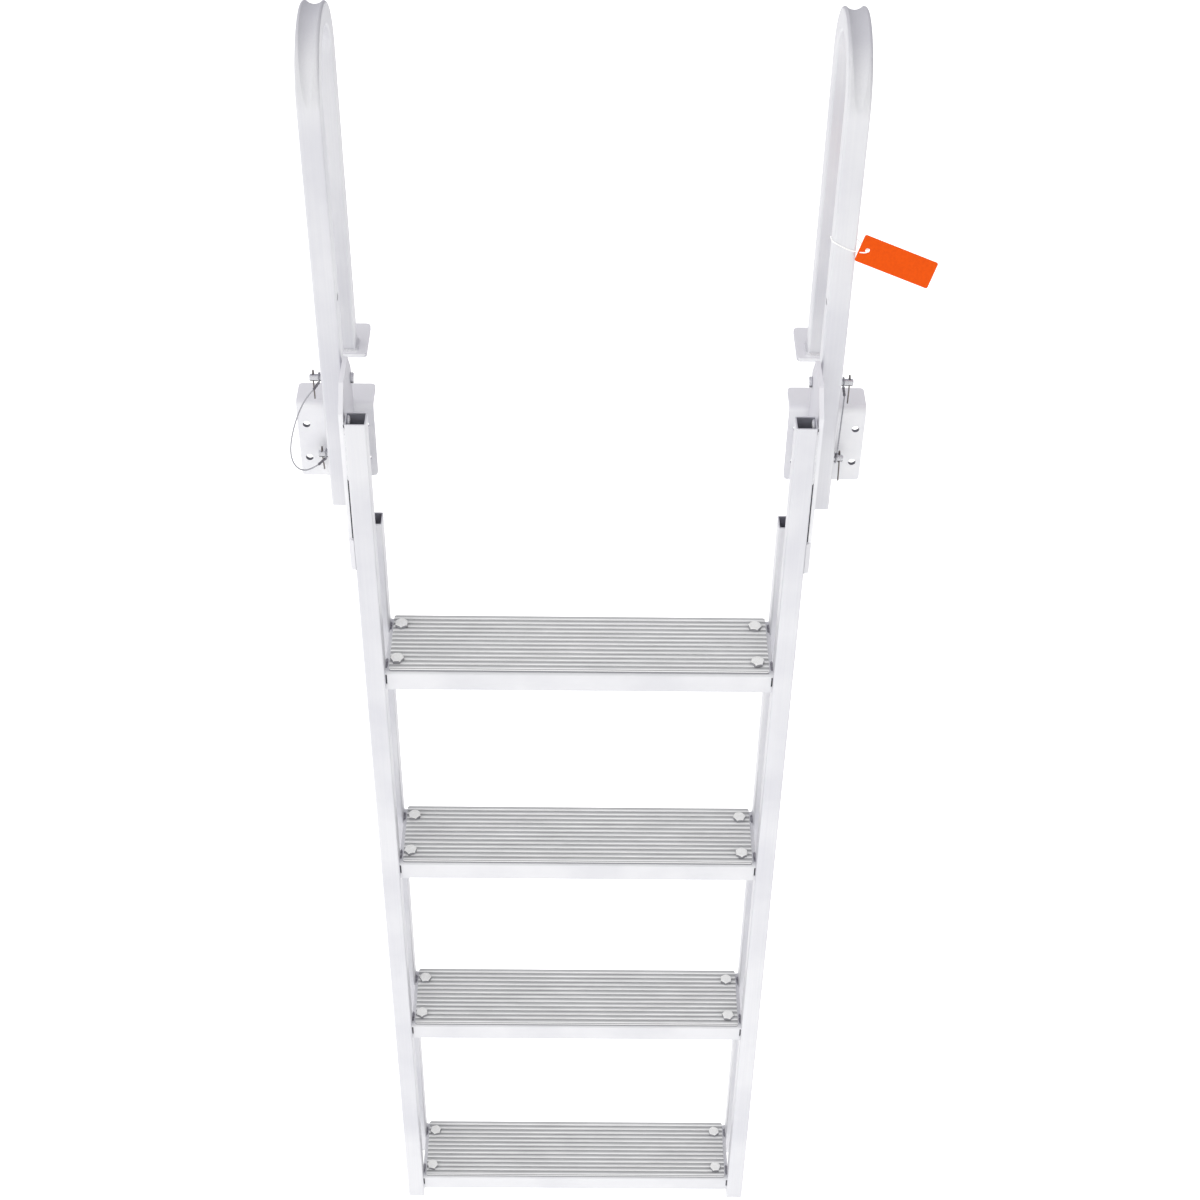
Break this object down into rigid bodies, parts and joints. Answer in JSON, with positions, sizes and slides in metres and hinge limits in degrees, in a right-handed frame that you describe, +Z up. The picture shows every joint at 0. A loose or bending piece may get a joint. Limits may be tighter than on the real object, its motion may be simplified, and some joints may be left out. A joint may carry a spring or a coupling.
{
  "type": "dock ladder",
  "caption": "Flip-up aluminium boarding ladder for a dock: square-tube handles with brackets, and a hinged frame of rails with ribbed treads.",
  "frame": {"origin": "in the flat back face of the right dock bracket, midway between its four bolt holes", "axes": "+X to the right seen from the water, +Y towards the dock, +Z up"},
  "size_m": [0.6337, 0.2375, 1.673],
  "materials": {
    "aluminium_tube": "bead-blasted satin",
    "aluminium_plate": "satin",
    "aluminium_tread": "satin",
    "tread_mat": "matt, ribbed",
    "pin_steel": "brushed stainless steel",
    "lanyard_wire": "stranded wire",
    "tag_card": "matt card",
    "tag_string": "twisted cotton"
  },
  "bodies": {
    "dock_frame": {"handle_left": "aluminium_tube", "handle_right": "aluminium_tube", "foot_plate_left": "aluminium_plate", "foot_plate_right": "aluminium_plate", "dock_bracket_left": "aluminium_plate", "dock_bracket_right": "aluminium_plate", "pivot_pin_left": "pin_steel", "pivot_pin_right": "pin_steel", "lock_pin_left": "pin_steel", "lock_pin_right": "pin_steel", "pivot_washer_left": "pin_steel", "pivot_washer_right": "pin_steel", "pin_clips_left": "pin_steel", "pin_clips_right": "pin_steel", "lanyard_eyes_left": "pin_steel", "lanyard_eyes_right": "pin_steel", "lanyard_left": "lanyard_wire", "lanyard_right": "lanyard_wire", "hang_tag": "tag_card", "tag_string": "tag_string"},
    "ladder": {"hinge_plate_left": "aluminium_plate", "hinge_plate_right": "aluminium_plate", "front_rail_left": "aluminium_tube", "front_rail_right": "aluminium_tube", "rear_rail_left": "aluminium_tube", "rear_rail_right": "aluminium_tube", "tread_1": "aluminium_tread", "tread_2": "aluminium_tread", "tread_3": "aluminium_tread", "tread_4": "aluminium_tread", "tread_mat_1": "tread_mat", "tread_mat_2": "tread_mat", "tread_mat_3": "tread_mat", "tread_mat_4": "tread_mat"}
  },
  "joints": [
    {"name": "ladder_flip", "type": "hinge", "parent": "dock_frame", "child": "ladder", "pos_m": [-0.2495, -0.0155, 0.087], "axis": [-1, 0, 0], "range_deg": [0, 180]}
  ]
}
